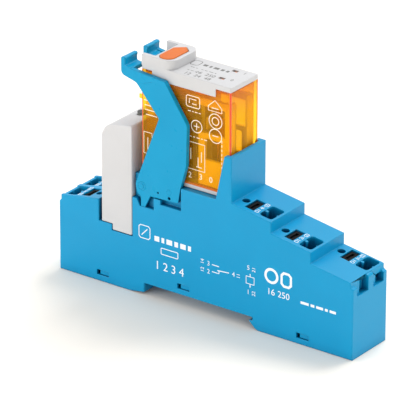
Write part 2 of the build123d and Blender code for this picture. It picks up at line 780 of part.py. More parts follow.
def coil_core():
    top = coil_bottom + coil_height + 0.05
    core = post(x_coil, 0, (coil_bottom - yoke_thickness - 0.05, pole_top), core_radius)
    return core + post(x_coil, 0, (top, pole_top), 3.4)


def yoke():
    z = coil_bottom - 0.05
    leg = x_coil + 6.9
    path = [(x_coil - 2.6, z - yoke_thickness / 2), (leg, z - yoke_thickness / 2), (leg, hinge_z - 0.25)]
    frame = ribbon(path, 0.7, yoke_thickness, (-4.2, 4.2))
    return frame - post(x_coil, 0, (z - 3, z + 1), core_radius + running_gap)


def armature():
    """Bell crank: the level arm covers the pole, the hanging arm moves the contacts."""
    t = armature_thickness
    hang = x_coil + 9.2
    path = [(x_coil - 4.8, hinge_z + t / 2), (hang, hinge_z + t / 2), (hang, card_height - 1.2)]
    crank = ribbon(path, 1.0, t, (-3.6, 3.6))
    return crank - box((x_coil + 4.8, hang - 0.9), (-1.6, 1.6), (hinge_z - 1, hinge_z + t + 1))


def actuator_card():
    t = armature_thickness
    x0 = x_coil + 9.2 + t / 2
    x_push = moving_x - spring_thickness / 2 - 0.1
    card = box((x0, x_push), (-1.0, 1.0), (card_height - 0.8, card_height + 0.8))
    return card + box((x0, x0 + 0.35), (-3.0, 3.0), (card_height - 0.8, card_height + 2.6))


def flag_indicator():
    """Flag carried by the crank; its tips show in the cap's windows."""
    top = cap_bottom - 1.0
    x0 = x_relay + flag_x
    back = hinge_x + 0.4
    z = hinge_z + armature_thickness
    arm = both_sides(box((back - 2.6, back), (1.6, 3.0), (z, z + 0.6)))
    ys = (flag_places[0] - 0.5, flag_places[1] + 0.5)
    arm += box((back - 0.6, x0 + 0.5), ys, (top - 1.6, top - 0.8))
    arm += box((back - 0.6, back), (-2.5, 2.5), (z, top - 0.8))
    for y in flag_places:
        arm += box((x0 - 0.5, x0 + 0.5), (y - 0.4, y + 0.4), (top - 1.6, cap_top - flag_drop))
    return arm


def armature_spring():
    """Leaf that lifts the armature off the pole."""
    z = hinge_z + armature_thickness + 0.11
    path = [(x_coil + 1.8, z), (hinge_x - 0.6, z)]
    return ribbon(path, 0.3, 0.22, (-1.2, 1.2)) - box((x_coil + 4.7, x_coil + 6.0), (-0.5, 0.5), (0, 99))


# Contacts

def contact_blade(x):
    y = contact_blade_width / 2
    t = contact_blade_thickness / 2
    blade = box((x - t, x + t), (-y, y), (blade_end, blade_level))
    return chamfer(blade.edges().group_by(Axis.Z)[0].filter_by(Axis.Y), 0.2)


def common_blade():
    y = contact_blade_width / 2
    t = contact_blade_thickness
    blade = contact_blade(x_contacts[1])
    return blade + box((moving_x - t / 2, moving_x + t / 2), (-y, y), (blade_level - 0.1, blade_level + 0.9))


def moving_contact_spring():
    y = contact_blade_width / 2
    t = spring_thickness / 2
    leaf = box((moving_x - t, moving_x + t), (-y, y), (blade_level + 1.0, rivet_height + 2.2))
    leaf -= box((moving_x - 1, moving_x + 1), (-0.5, 0.5), (blade_level + 4, card_height - 4))
    return leaf - Pos(moving_x, 0, rivet_height) * Rot(0, 90, 0) * Cylinder(0.62, 2)


def rivet(x_from, x_to, radius):
    return Pos((x_from + x_to) / 2, 0, rivet_height) * Rot(0, 90, 0) * Cylinder(radius, x_to - x_from)


def moving_contact_rivet():
    t = spring_thickness / 2
    shank = rivet(moving_x - t - 0.1, moving_x + t + 0.1, 0.6)
    left = rivet(moving_x - t - 0.7, moving_x - t, rivet_radius)
    return shank + left + rivet(moving_x + t, moving_x + t + 0.7, rivet_radius)


def fixed_contact(x_blade, x_leaf, window):
    """Blade, joggle and upright leaf of a fixed contact, with its rivet."""
    y = contact_blade_width / 2
    t = contact_blade_thickness
    level = blade_level + t / 2
    path = [(x_blade, blade_level - 0.6), (x_blade, level), (x_leaf, level), (x_leaf, rivet_height + 2.2)]
    bar = ribbon(path, 0.4, t, (-y, y)) + contact_blade(x_blade)
    if window:
        bar -= box((x_leaf - 1, x_leaf + 1), (-1.3, 1.3), (card_height - 1.5, card_height + 1.5))
    toward = 1 if x_leaf < moving_x else -1
    xs = sorted((x_leaf + toward * (t / 2 - 0.05), x_leaf + toward * (t / 2 + 0.7)))
    return bar + rivet(xs[0], xs[1], rivet_radius)


def fixed_contacts():
    reach = spring_thickness / 2 + 0.7
    leaf = contact_blade_thickness / 2 + 0.7
    closed = fixed_contact(x_contacts[0], moving_x - reach - contact_rest_gap - leaf, True)
    opened = fixed_contact(x_contacts[2], moving_x + reach + contact_gap + leaf, False)
    return closed, opened


def coil_blades():
    y = coil_blade_y
    half_t = coil_blade_thickness / 2
    blade = box((x_coil_blade - coil_blade_width / 2, x_coil_blade + coil_blade_width / 2),
                (y - half_t, y + half_t), (blade_end, coil_bottom - 0.1))
    return both_sides(chamfer(blade.edges().group_by(Axis.Z)[0].filter_by(Axis.X), 0.2))


def contact_carrier():
    """Moulded frame that guides the contact leaves and parts them from the coil."""
    x = (x_contacts[1] - 4.2, x_relay_end - cover_wall - 0.15)
    z = (relay_bottom + base_plate, rivet_height + 5.4)
    y = relay_half - cover_wall - 0.15
    frame = box(x, (-y, y), z)
    frame -= box((x[0] + 0.9, x[1] - 0.7), (-y + 1, y - 1), (0, 99))
    frame -= box((x[0] - 1, x[0] + 2), (-3.7, 3.7), (0, 99))
    frame -= box((x[0] - 1, x[1] - 1.6), (-9, 9), (rivet_height - 4.5, rivet_height + 3.2))
    frame -= box((x[0] + 2.2, x[1] - 3.0), (-9, 9), (z[0] + 7.5, rivet_height - 6.0))
    frame -= box((x[1] - 2, x[1] + 1), (-2.6, 2.6), (z[0] + 3, z[1] + 1))
    return frame


os.makedirs("parts", exist_ok=True)

save(socket_housing(), "socket_housing")
save(socket_base(), "socket_base")
save(din_latch(), "din_latch")
save(din_latch_spring(), "din_latch_spring")

for name, frame, end in terminal_frames():
    save(frame * release_button(end), "release_button_" + name)

terminals = []
for i, y in enumerate([near_terminal_y, near_terminal_y, far_terminal_y]):
    x = x_decks[i]
    terminals.append((str(i + 1), x + button_places[0], x + entry_place, plate_levels[i], y))
for name, y in (("4", -coil_terminal_y), ("5", coil_terminal_y)):
    terminals.append((name, x_bay - button_places[1], x_bay - entry_place, strip_low, y))
for name, x_button, x_entry, z, y in terminals:
    save(clamp_spring(x_button, x_entry, z, y), "clamp_spring_" + name)
for i, y in ((2, near_terminal_y), (1, near_terminal_y), (0, far_terminal_y)):
    save(contact_busbar(i, y), "busbar_" + str(3 - i))
save(coil_busbar(-1), "busbar_4")
save(coil_busbar(1), "busbar_5")

save(retaining_clip(), "retaining_clip")

save(module_housing(), "module_housing")
save(module_base(), "module_base")
save(module_blades(), "module_blades")
save(module_board(), "module_board")
save(module_lens(), "module_lens")
save(module_lamp(), "module_lamp")
save(suppressor_disc(), "suppressor_disc")
save(series_resistor(), "series_resistor")

save(relay_base(), "relay_base")
save(relay_cover(), "relay_cover")
save(relay_cap(), "relay_cap")
save(test_button(), "test_button")
save(coil_bobbin(), "coil_bobbin")
save(coil_winding(), "coil_winding")
save(coil_core(), "coil_core")
save(yoke(), "yoke")
save(coil_blades(), "coil_blades")
save(armature(), "armature")
save(armature_spring(), "armature_spring")
save(actuator_card(), "actuator_card")
save(flag_indicator(), "flag_indicator")
save(moving_contact_spring(), "moving_contact_spring")
save(moving_contact_rivet(), "moving_contact_rivet")
save(common_blade(), "common_blade")
closed_contact, open_contact = fixed_contacts()
save(closed_contact, "fixed_contact_nc")
save(open_contact, "fixed_contact_no")
save(contact_carrier(), "contact_carrier")

print("hinges", x_pivot - socket_length / 2, pivot_height, hinge_x - socket_length / 2, hinge_z)
print("moving contact", moving_x - socket_length / 2, blade_level)
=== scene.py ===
import bmesh
import bpy
import json
import math
from mathutils import Matrix, Vector


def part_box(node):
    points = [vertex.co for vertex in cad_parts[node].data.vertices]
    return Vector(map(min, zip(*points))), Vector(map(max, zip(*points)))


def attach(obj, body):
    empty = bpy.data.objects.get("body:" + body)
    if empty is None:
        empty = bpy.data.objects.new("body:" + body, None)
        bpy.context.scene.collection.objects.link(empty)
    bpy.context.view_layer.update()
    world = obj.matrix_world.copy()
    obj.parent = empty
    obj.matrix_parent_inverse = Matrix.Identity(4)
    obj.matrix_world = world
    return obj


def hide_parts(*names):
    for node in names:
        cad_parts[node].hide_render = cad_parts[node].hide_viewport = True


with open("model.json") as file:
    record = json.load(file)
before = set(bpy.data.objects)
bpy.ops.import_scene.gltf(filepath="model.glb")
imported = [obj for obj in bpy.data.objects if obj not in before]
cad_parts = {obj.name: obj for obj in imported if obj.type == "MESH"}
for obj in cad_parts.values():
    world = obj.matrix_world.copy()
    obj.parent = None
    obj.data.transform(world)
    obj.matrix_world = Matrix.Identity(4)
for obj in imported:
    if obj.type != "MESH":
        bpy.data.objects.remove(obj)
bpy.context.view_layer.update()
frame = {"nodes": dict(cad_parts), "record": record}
nodes = frame["nodes"]
mm = 0.001
slotOf = {part["node"]: part["material_slot"] for part in frame["record"]["subparts"]}
bodyOf = {node: body for body, held in frame["record"]["behaviour"]["bodies"].items() for node in held}


class Sock:  # a shader socket that can stand in an expression
    def __init__(self, tree, out):
        self.tree, self.out = tree, out

    def join(self, operation, a, b=None, clamp=False):
        node = self.tree.nodes.new("ShaderNodeMath")
        node.operation, node.use_clamp = operation, clamp
        for i, value in enumerate([a] if b is None else [a, b]):
            if isinstance(value, Sock):
                self.tree.links.new(value.out, node.inputs[i])
            else:
                node.inputs[i].default_value = value
        return Sock(self.tree, node.outputs[0])

    def __add__(self, other):
        return self.join("ADD", self, other)

    def __radd__(self, other):
        return self.join("ADD", other, self)

    def __sub__(self, other):
        return self.join("SUBTRACT", self, other)

    def __rsub__(self, other):
        return self.join("SUBTRACT", other, self)

    def __mul__(self, other):
        return self.join("MULTIPLY", self, other)

    def __rmul__(self, other):
        return self.join("MULTIPLY", other, self)

    def __truediv__(self, other):
        return self.join("DIVIDE", self, other)

    def __rtruediv__(self, other):
        return self.join("DIVIDE", other, self)

    def high(self, other):
        return self.join("MAXIMUM", self, other)

    def low(self, other):
        return self.join("MINIMUM", self, other)

    def size(self):
        return self.join("ABSOLUTE", self)

    def held(self):
        return self.join("ADD", self, 0.0, clamp=True)


class Finish:  # one material and the nodes it is made of
    def __init__(self, name):
        self.mat = bpy.data.materials.new(name)
        self.mat.use_nodes = True
        self.tree = self.mat.node_tree
        self.tree.nodes.clear()
        self.end = self.tree.nodes.new("ShaderNodeOutputMaterial")
        self.place = self.add("TexCoord").outputs["Object"]

    def add(self, kind, settings=None, values=None):
        node = self.tree.nodes.new("ShaderNode" + kind)
        for key, value in (settings or {}).items():
            setattr(node, key, value)
        for key, value in (values or {}).items():
            if isinstance(value, Sock):
                self.tree.links.new(value.out, node.inputs[key])
            elif isinstance(value, bpy.types.NodeSocket):
                self.tree.links.new(value, node.inputs[key])
            else:
                node.inputs[key].default_value = value
        return node

    def out(self, node, name=0):
        return Sock(self.tree, node.outputs[name])

    def axes(self):
        parts = self.add("SeparateXYZ", values={0: self.place})
        return [self.out(parts, i) for i in range(3)]

    def noise(self, scale, detail=2.0, rough=0.5, stretch=None):
        place = self.place
        if stretch:
            place = self.add("Mapping", values={"Vector": place, "Scale": stretch}).outputs[0]
        values = {"Vector": place, "Scale": scale, "Detail": detail, "Roughness": rough}
        return self.out(self.add("TexNoise", values=values))

    def mix(self, factor, a, b):
        node = self.add("Mix", {"data_type": "RGBA"}, {0: factor, 6: a, 7: b})
        return Sock(self.tree, node.outputs[2])

    def open(self, distance):  # 1 in the open, less in a hole or a corner
        node = self.add("AmbientOcclusion", {"samples": 8}, {"Distance": distance * mm})
        return self.out(node, "AO")

    def bump(self, height, strength, distance, soft=0.0):
        values = {"Height": height, "Strength": strength, "Distance": distance * mm}
        if soft:
            bevel = self.add("Bevel", {"samples": 4}, {"Radius": soft * mm})
            values["Normal"] = bevel.outputs[0]
        return self.out(self.add("Bump", values=values))

    def surface(self, **values):
        named = {key.replace("_", " "): value for key, value in values.items()}
        return self.add("BsdfPrincipled", values=named)

    def done(self, node):
        self.tree.links.new(node.outputs[0], self.end.inputs[0])
        return self.mat


def tint(r, g, b):  # a colour as a paint chart gives it, 0 to 255
    def line(c):
        c = c / 255
        return c / 12.92 if c <= 0.04045 else ((c + 0.055) / 1.055) ** 2.4
    return (line(r), line(g), line(b), 1.0)


# moulded plastic: slow colour patches, fine grain, uneven gloss, and painted shade: the colour is darkened
# inside holes and corners wherever the ambient occlusion finds them
plastic = {"patches": 90, "spread": 1.6, "level": 0.3, "paintedShadeMask": 1.05, "paintedShadeFall": 1.7,
           "grainStrength": 0.35, "smears": 400, "smear": 0.16, "coatRough": 0.15}


def moulded(name, colour, shade, rough=0.38, grain=9000, depth=0.012, soft=0.12, coat=0.0, paintedShadeColour=None,
            reach=3.0, shine=0.4):
    f = Finish(name)
    patch = (f.noise(plastic["patches"], 3) * plastic["spread"] - plastic["level"]).held()
    paint = f.mix(patch, colour, shade)
    # painted shade: the base colour is mixed towards a dark shade colour in holes and corners, by ambient
    # occlusion
    if paintedShadeColour:
        paintedShadeMask = (plastic["paintedShadeMask"] - f.open(reach) * plastic["paintedShadeFall"]).held()
        paint = f.mix(paintedShadeMask, paint, paintedShadeColour)
    normal = f.bump(f.noise(grain, 2), plastic["grainStrength"], depth, soft)
    gloss = rough + (f.noise(plastic["smears"], 3) - 0.5) * plastic["smear"]
    return f.done(f.surface(Base_Color=paint, Roughness=gloss, Normal=normal, Coat_Weight=coat,
                            Coat_Roughness=plastic["coatRough"], Specular_IOR_Level=shine))


# metal: fine drawn lines along z, and slow tarnish
drawn = {"along": (1, 1, 12), "lines": 1500, "tarnish": 300, "spread": 1.8, "level": 0.4, "strength": 0.3,
         "depth": 0.01, "soft": 0.05, "gloss": 0.25}


def metal(name, colour, shade, rough=0.28):
    f = Finish(name)
    lines = f.noise(drawn["lines"], 4, 0.6, drawn["along"])
    tarnish = (f.noise(drawn["tarnish"], 3) * drawn["spread"] - drawn["level"]).held()
    normal = f.bump(lines, drawn["strength"], drawn["depth"], drawn["soft"])
    return f.done(f.surface(Base_Color=f.mix(tarnish, colour, shade), Metallic=1.0, Normal=normal,
                            Roughness=rough + (lines - 0.5) * drawn["gloss"]))


# the clear amber cover: painted light as orange rims where the walls meet, standing in for light carried
# along the walls, and an orange band below the cap
amber = {"clear": tint(255, 236, 120), "body": tint(255, 186, 16), "paintedRimGlow": tint(228, 62, 4),
         "rimWidth": 0.65, "rimFade": 1.7, "rimSolid": 0.8, "bandDepth": 8.0, "bandSolid": 0.2,
         "bandTint": 0.8, "veil": 0.14, "grazing": 0.30, "rough": 0.07}


def amberFinish():
    f = Finish("amberCover")
    x, y, z = f.axes()
    low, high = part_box("relay_cover")
    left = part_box("relay_cap")[0].x
    width = amber["rimWidth"] * mm
    nearX = (x - left).size().low((x - high.x).size()) / width
    nearY = (y - low.y).size().low((y - high.y).size()) / width
    nearZ = (z - low.z).size() / width
    nearTop = (z - high.z).size() / (amber["bandDepth"] * mm)
    # painted light: an orange glow painted along the rims where the walls meet, for light carried along the
    # walls
    paintedRimGlow = (amber["rimFade"] - nearX.high(nearY) * amber["rimFade"]).held().high((1 - nearZ).held())
    band = (1 - nearTop).held()
    facing = f.out(f.add("LayerWeight", values={"Blend": 0.35}), "Facing")
    solid = amber["veil"] + paintedRimGlow * amber["rimSolid"] + band * amber["bandSolid"]
    solid = (solid + facing * facing * amber["grazing"]).held()
    gloss = amber["rough"] + (f.noise(500, 2) - 0.5) * 0.04
    paint = f.mix(paintedRimGlow.high(band * amber["bandTint"]).held(), amber["body"], amber["paintedRimGlow"])
    body = f.surface(Base_Color=paint, Roughness=gloss, Coat_Weight=0.4, Coat_Roughness=0.03,
                     Normal=f.bump(f.noise(600, 2), 0.12, 0.02))
    clear = f.add("BsdfTransparent", values={"Color": amber["clear"]})
    return f.done(f.add("MixShader", values={0: solid, 1: clear.outputs[0], 2: body.outputs[0]}))


def printFinish(name, colour, rough=0.5):
    f = Finish(name)
    worn = (f.noise(2500, 3) * 1.5 - 0.45).held()
    paint = f.mix(worn, colour, tuple(c * 0.86 for c in colour[:3]) + (1.0,))
    return f.done(f.surface(Base_Color=paint, Roughness=rough + (f.noise(900, 2) - 0.5) * 0.2))


# painted shade: the dark navy painted into the holes and corners of the blue mouldings
paintedShadeBlue = tint(0, 16, 80)
finishes = {
    "socket_blue": moulded("socketBlue", tint(0, 146, 196), tint(0, 151, 201), 0.33, soft=0.3,
                           paintedShadeColour=paintedShadeBlue, reach=6.0, shine=0.25),
    "clip_blue": moulded("clipBlue", tint(0, 147, 193), tint(0, 153, 199), 0.30, depth=0.008, soft=0.25,
                         paintedShadeColour=paintedShadeBlue, shine=0.2),
    "latch_plastic": moulded("latchBlue", tint(8, 120, 190), tint(12, 130, 200), 0.34, paintedShadeColour=paintedShadeBlue),
    "button_black": moulded("buttonBlack", tint(4, 5, 6), tint(10, 11, 13), 0.5, shine=0.08),
    # painted shade: a grey painted into the holes and corners of the grey-white mouldings
    "light_grey_plastic": moulded("greyWhite", tint(204, 204, 206), tint(198, 198, 199), 0.42, soft=0.2,
                                  paintedShadeColour=tint(150, 148, 144), reach=1.5),
    "button_orange": moulded("buttonOrange", tint(222, 118, 40), tint(212, 106, 32), 0.38, soft=0.2,
                             shine=0.25),
    "clear_lens": moulded("lensSmoke", tint(112, 112, 106), tint(84, 84, 78), 0.12, coat=0.6),
    "green_lamp": moulded("lampGreen", tint(90, 200, 110), tint(60, 180, 90), 0.15, coat=0.5),
    "circuit_board": moulded("boardGreen", tint(30, 98, 58), tint(22, 82, 48), 0.35, coat=0.4),
    "varistor_blue": moulded("varistorBlue", tint(28, 74, 150), tint(20, 62, 135), 0.3, coat=0.5),
    "resistor_body": moulded("resistorTan", tint(214, 190, 140), tint(200, 176, 124), 0.35),
    "bobbin_plastic": moulded("bobbinBrown", tint(70, 40, 24), tint(52, 28, 18), 0.4),
    "coil_tape": moulded("coilWire", tint(176, 78, 30), tint(150, 56, 22), 0.3, coat=0.4),
    "carrier_plastic": moulded("carrierCream", tint(252, 244, 216), tint(244, 234, 204), 0.45),
    "flag_orange": moulded("flagOrange", tint(255, 156, 84), tint(250, 142, 68), 0.35),
    "magnet_iron": metal("platedIron", tint(200, 196, 186), tint(176, 172, 160), 0.35),
    "spring_steel": metal("springSteel", tint(196, 198, 200), tint(168, 170, 174), 0.22),
    "busbar_copper": metal("busbarCopper", tint(220, 160, 112), tint(200, 138, 92), 0.28),
    "contact_bronze": metal("leafBronze", tint(226, 158, 104), tint(204, 134, 84), 0.25),
    "contact_silver": metal("contactSilver", tint(236, 236, 230), tint(214, 212, 206), 0.18),
    "tinned_blade": metal("tinnedBlade", tint(206, 202, 194), tint(182, 178, 170), 0.3),
    "amber_cover": amberFinish(),
}
whitePrint = printFinish("whitePrint", tint(244, 247, 250))
creamPrint = printFinish("creamPrint", tint(255, 240, 214))
greyPrint = printFinish("greyPrint", tint(118, 118, 116))
# painted shade: the darker orange of the line round the test button, in place of a moulded line's shade
grooveShadeOrange = printFinish("grooveShadeOrange", tint(214, 96, 34))
lampMark = printFinish("lampMark", tint(52, 50, 46), 0.25)
for name, obj in nodes.items():
    obj.data.materials.clear()
    obj.data.materials.append(finishes[slotOf[name]])
print("finishes set", len(finishes))


def addPiece(name, mesh, material, body):
    obj = bpy.data.objects.new(name, mesh)
    bpy.context.scene.collection.objects.link(obj)
    mesh.materials.clear()
    mesh.materials.append(material)
    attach(obj, body)
    return obj


def meshOf(name, bm, smooth=35):
    mesh = bpy.data.meshes.new(name)
    bm.to_mesh(mesh)
    bm.free()
    mesh.shade_smooth()
    mesh.set_sharp_from_angle(angle=math.radians(smooth))
    return mesh


# edges rounded on the mouldings, in mm
edgeRounds = {"socket_housing": 0.12, "socket_base": 0.1, "module_housing": 0.18, "module_base": 0.08,
              "relay_cover": 0.12, "relay_base": 0.12, "test_button": 0.1, "din_latch": 0.15,
              "contact_carrier": 0.1}
for number in range(1, 6):
    edgeRounds["release_button_" + str(number)] = 0.1


def roundEdges(node, width, sharpest=35):
    bm = bmesh.new()
    bm.from_mesh(nodes[node].data)
    bmesh.ops.remove_doubles(bm, verts=bm.verts, dist=0.002 * mm)
    bmesh.ops.dissolve_limit(bm, angle_limit=math.radians(0.6), verts=bm.verts, edges=bm.edges)
    sharp = [e for e in bm.edges if len(e.link_faces) == 2 and e.calc_face_angle(0) > math.radians(sharpest)]
    bmesh.ops.bevel(bm, geom=sharp, offset=width * mm, segments=2, affect="EDGES", profile=0.5,
                    offset_type="OFFSET", clamp_overlap=False)
    piece = addPiece(node + "_moulding", meshOf(node, bm), finishes[slotOf[node]], bodyOf[node])
    piece.modifiers.new("flatFaces", "WEIGHTED_NORMAL").keep_sharp = True
    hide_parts(node)


for node, width in edgeRounds.items():
    roundEdges(node, width)
print("edges rounded", len(edgeRounds))


# the coil: turns of wire, and its two ends down to the blades
coil = {"turns": 40, "ripple": 0.13, "steps": 64, "inner": 2.97, "leadWire": 0.11, "leadInset": 0.25,
        "leadGap": 0.35, "leadStart": (-2.2, 4.5, 1.2), "leadRise": 0.9, "leadDrop": 1.0, "leadEnd": 0.2}


def windCoil():
    low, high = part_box("coil_winding")
    centre = Vector(((low.x + high.x) / 2, 0, low.z))
    outer = (high.x - low.x) / 2
    inner = coil["inner"] * mm
    count = coil["turns"] * 4
    outline = [(inner, 0.0)]
    for k in range(count + 1):
        bulge = abs(math.sin(math.pi * k / 4))
        outline.append((outer - coil["ripple"] * mm * (1 - bulge), (high.z - low.z) * k / count))
    outline.append((inner, high.z - low.z))
    bm = bmesh.new()
    rings = []
    for s in range(coil["steps"]):
        a = math.tau * s / coil["steps"]
        turn = Vector((math.cos(a), math.sin(a), 0))
        rings.append([bm.verts.new(centre + turn * r + Vector((0, 0, z))) for r, z in outline])
    for s in range(coil["steps"]):
        one, two = rings[s], rings[(s + 1) % coil["steps"]]
        for k in range(len(outline)):
            m = (k + 1) % len(outline)
            bm.faces.new((one[k], two[k], two[m], one[m]))
    bmesh.ops.recalc_face_normals(bm, faces=bm.faces)
    piece = addPiece("coil_turns", meshOf("coil_turns", bm, 60), finishes["coil_tape"], "relay")
    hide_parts("coil_winding")


def wire(name, points, thick, material, body):
    curve = bpy.data.curves.new(name, "CURVE")
    curve.dimensions, curve.use_fill_caps = "3D", True
    curve.bevel_depth, curve.bevel_resolution = thick * mm / 2, 3
    line = curve.splines.new("NURBS")
    line.points.add(len(points) - 1)
    for knot, p in zip(line.points, points):
        knot.co = (*p, 1)
    line.order_u, line.use_endpoint_u = 3, True
    obj = bpy.data.objects.new(name, curve)
    bpy.context.scene.collection.objects.link(obj)
    curve.materials.append(material)
    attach(obj, body)


def leadCoil(side):
    low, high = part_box("coil_winding")
    bladeLow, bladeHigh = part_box("coil_blades")
    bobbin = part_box("coil_bobbin")[0]
    y = side * (bladeHigh.y - coil["leadInset"] * mm)
    x = bobbin.x - coil["leadGap"] * mm
    startX, startY, startZ = (v * mm for v in coil["leadStart"])
    foot = bladeHigh.z - coil["leadDrop"] * mm
    out = [Vector(((low.x + high.x) / 2 + startX, side * startY, low.z + startZ)),
           Vector((x, y * 1.1, low.z + coil["leadRise"] * mm)), Vector((x, y, bladeHigh.z)),
           Vector((x, y, foot)), Vector((bladeLow.x + coil["leadEnd"] * mm, y, foot))]
    name = "coil_lead_" + ("a" if side < 0 else "b")
    wire(name, out, coil["leadWire"], finishes["coil_tape"], "relay")


windCoil()
for side in (-1, 1):
    leadCoil(side)
print("coil wound")


# printed marks: flat strokes and plain digits on a plane given by its corner and its two directions
class Plane:
    def __init__(self, corner, along, upward):
        along, upward = Vector(along).normalized(), Vector(upward).normalized()
        out = along.cross(upward)
        self.matrix = Matrix([[along[i], upward[i], out[i], corner[i]] for i in range(3)] + [[0, 0, 0, 1]])


ink = 0.02  # how far a print stands proud, mm
fontScale = 1.38  # font size for a digit one mm high


def strokes(bm, lines, width):
    curve = bpy.data.curves.new("strokes", "CURVE")
    curve.dimensions, curve.use_fill_caps = "3D", True
    curve.bevel_depth, curve.bevel_resolution = width / 2, 1
    for points in lines:
        closed = points[0] == points[-1]
        points = points[:-1] if closed else points
        line = curve.splines.new("POLY")
        line.points.add(len(points) - 1)
        for knot, (x, y) in zip(line.points, points):
            knot.co = (x, y, 0, 1)
        line.use_cyclic_u = closed
    obj = bpy.data.objects.new("strokes", curve)
    mesh = bpy.data.meshes.new_from_object(obj)
    mesh.transform(Matrix.Diagonal((1, 1, 2 * ink / width, 1)))
    bm.from_mesh(mesh)
    bpy.data.objects.remove(obj)
    bpy.data.meshes.remove(mesh)
    bpy.data.curves.remove(curve)


def frameLine(x0, y0, x1, y1, c=0.0):  # a frame with its corners cut by c
    return [(x0 + c, y0), (x1 - c, y0), (x1, y0 + c), (x1, y1 - c), (x1 - c, y1), (x0 + c, y1),
            (x0, y1 - c), (x0, y0 + c), (x0 + c, y0)]


def ring(x, y, radius, sides=28):
    turns = [math.tau * i / sides for i in range(sides + 1)]
    return [(x + radius * math.cos(a), y + radius * math.sin(a)) for a in turns]


def digits(bm, text, x, y, height, turn=0.0):
    curve = bpy.data.curves.new("digits", "FONT")
    curve.body, curve.size, curve.extrude = text, height * fontScale, ink
    curve.align_x, curve.align_y = "CENTER", "CENTER"
    curve.resolution_u = 3
    obj = bpy.data.objects.new("digits", curve)
    mesh = bpy.data.meshes.new_from_object(obj)
    mesh.transform(Matrix.Translation((x, y, 0)) @ Matrix.Rotation(turn, 4, "Z"))
    bm.from_mesh(mesh)
    bpy.data.objects.remove(obj)
    bpy.data.meshes.remove(mesh)
    bpy.data.curves.remove(curve)


def printed(name, plane, lines, width, texts, material, body):
    bm = bmesh.new()
    strokes(bm, lines, width)
    for text in texts:
        digits(bm, *text)
    bm.transform(plane.matrix @ Matrix.Scale(mm, 4))
    addPiece(name, meshOf(name, bm), material, body)


def dashes(x, y, lengths, gap=0.45):
    out = []
    for length in lengths:
        out.append([(x, y), (x + length, y)])
        x += length + gap
    return out


# marks on the socket's side, in mm from the socket's middle and its foot
sideMarks = {"thin": 0.26, "bold": 1.5, "wide": 0.75, "digit": 1.35, "small": 1.1}


def markSide():
    face = Plane((0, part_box("socket_housing")[0].y, 0), (1, 0, 0), (0, 0, 1))
    thin = [frameLine(-21.4, 16.9, -17.7, 20.7, 0.5), [(-20.5, 17.8), (-18.6, 19.8)]]
    thin += [frameLine(-14.0, 13.8, -8.4, 15.6, 0.2)]
    thin += [[(2.9, 15.35), (5.2, 15.35)], [(2.9, 13.3), (5.2, 13.3), (5.2, 14.0)]]
    thin += [[(4.7, 14.1), (8.5, 14.4)]]
    thin += [frameLine(14.1, 13.1, 16.7, 15.2), [(15.4, 15.2), (15.4, 16.1)], [(15.4, 13.1), (15.4, 12.1)]]
    quarter = math.pi / 2
    small, digit = sideMarks["small"], sideMarks["digit"]
    texts = [("14", -0.25, 15.5, small, quarter), ("12", -0.25, 13.1, small, quarter),
             ("11", 11.6, 14.4, small, quarter), ("3", 1.75, 15.35, digit), ("2", 1.75, 13.0, digit),
             ("4", 9.95, 14.4, digit), ("5", 14.8, 17.7, digit), ("1", 14.8, 10.6, digit),
             ("21", 16.6, 17.6, small, quarter), ("22", 16.6, 10.6, small, quarter),
             ("1 2 3 4", -11.2, 10.1, 2.5), ("16", 22.2, 12.7, 1.9), ("250", 26.3, 12.7, 1.9)]
    printed("print_side_lines", face, thin, sideMarks["thin"], texts, whitePrint, "socket")
    bars = dashes(-16.2, 17.9, (1.6, 0.9, 1.9, 1.2, 1.8, 1.0), 0.75)
    printed("print_side_bars", face, bars, sideMarks["bold"], [], whitePrint, "socket")
    wide = [ring(22.3, 17.4, 1.9, 36), frameLine(25.6, 15.5, 28.6, 19.3, 0.7)]
    wide += dashes(31.8, 12.4, (2.6, 1.2, 2.2, 0.9, 2.0), 0.6)
    printed("print_side_shapes", face, wide, sideMarks["wide"], [], whitePrint, "socket")


# a white label strip on each deck, between the release button and the wire entry
deckLabels = {"tilt": 9, "buttonEdge": 1.30, "buttonTop": 0.18, "recess": 0.35, "digit": 1.15,
              "coilEnd": 2.1, "contactEnd": 2.4, "line": 0.17,
              "texts": {"1": "1 4", "2": "1 2", "3": "1 1", "4": "2 1", "5": "2 2"}}


def markDeck(number):
    low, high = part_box("release_button_" + number)
    coilEnd = number in "45"
    s = -1 if coilEnd else 1
    a = math.radians(deckLabels["tilt"])
    slope = Vector((s * math.cos(a), 0, -math.sin(a)))
    up = Vector((s * math.sin(a), 0, math.cos(a)))
    x = low.x + deckLabels["buttonEdge"] * mm if coilEnd else high.x - deckLabels["buttonEdge"] * mm
    top = Vector((x, (low.y + high.y) / 2, high.z - deckLabels["buttonTop"] * mm))
    top += up * deckLabels["recess"] * mm
    corner = top + slope * deckLabels["coilEnd" if coilEnd else "contactEnd"] * mm
    face = Plane(corner, (0, s, 0), -slope)
    lines = [frameLine(-2.95, -0.5, -2.1, 0.5, 0.15), [(0.35, 0.42), (0.35, -0.42)]]
    lines += [[(0.85, 0.0), (1.2, 0.0)], frameLine(1.6, -0.5, 2.9, 0.5, 0.1), [(2.25, -0.5), (2.25, 0.5)]]
    texts = [(deckLabels["texts"][number], -0.85, 0.0, deckLabels["digit"])]
    printed("print_deck_" + number, face, lines, deckLabels["line"], texts, whitePrint, "socket")


# marks on the cover, in mm from the socket's middle and its foot
coverMarks = {"line": 0.24, "digit": 1.7}


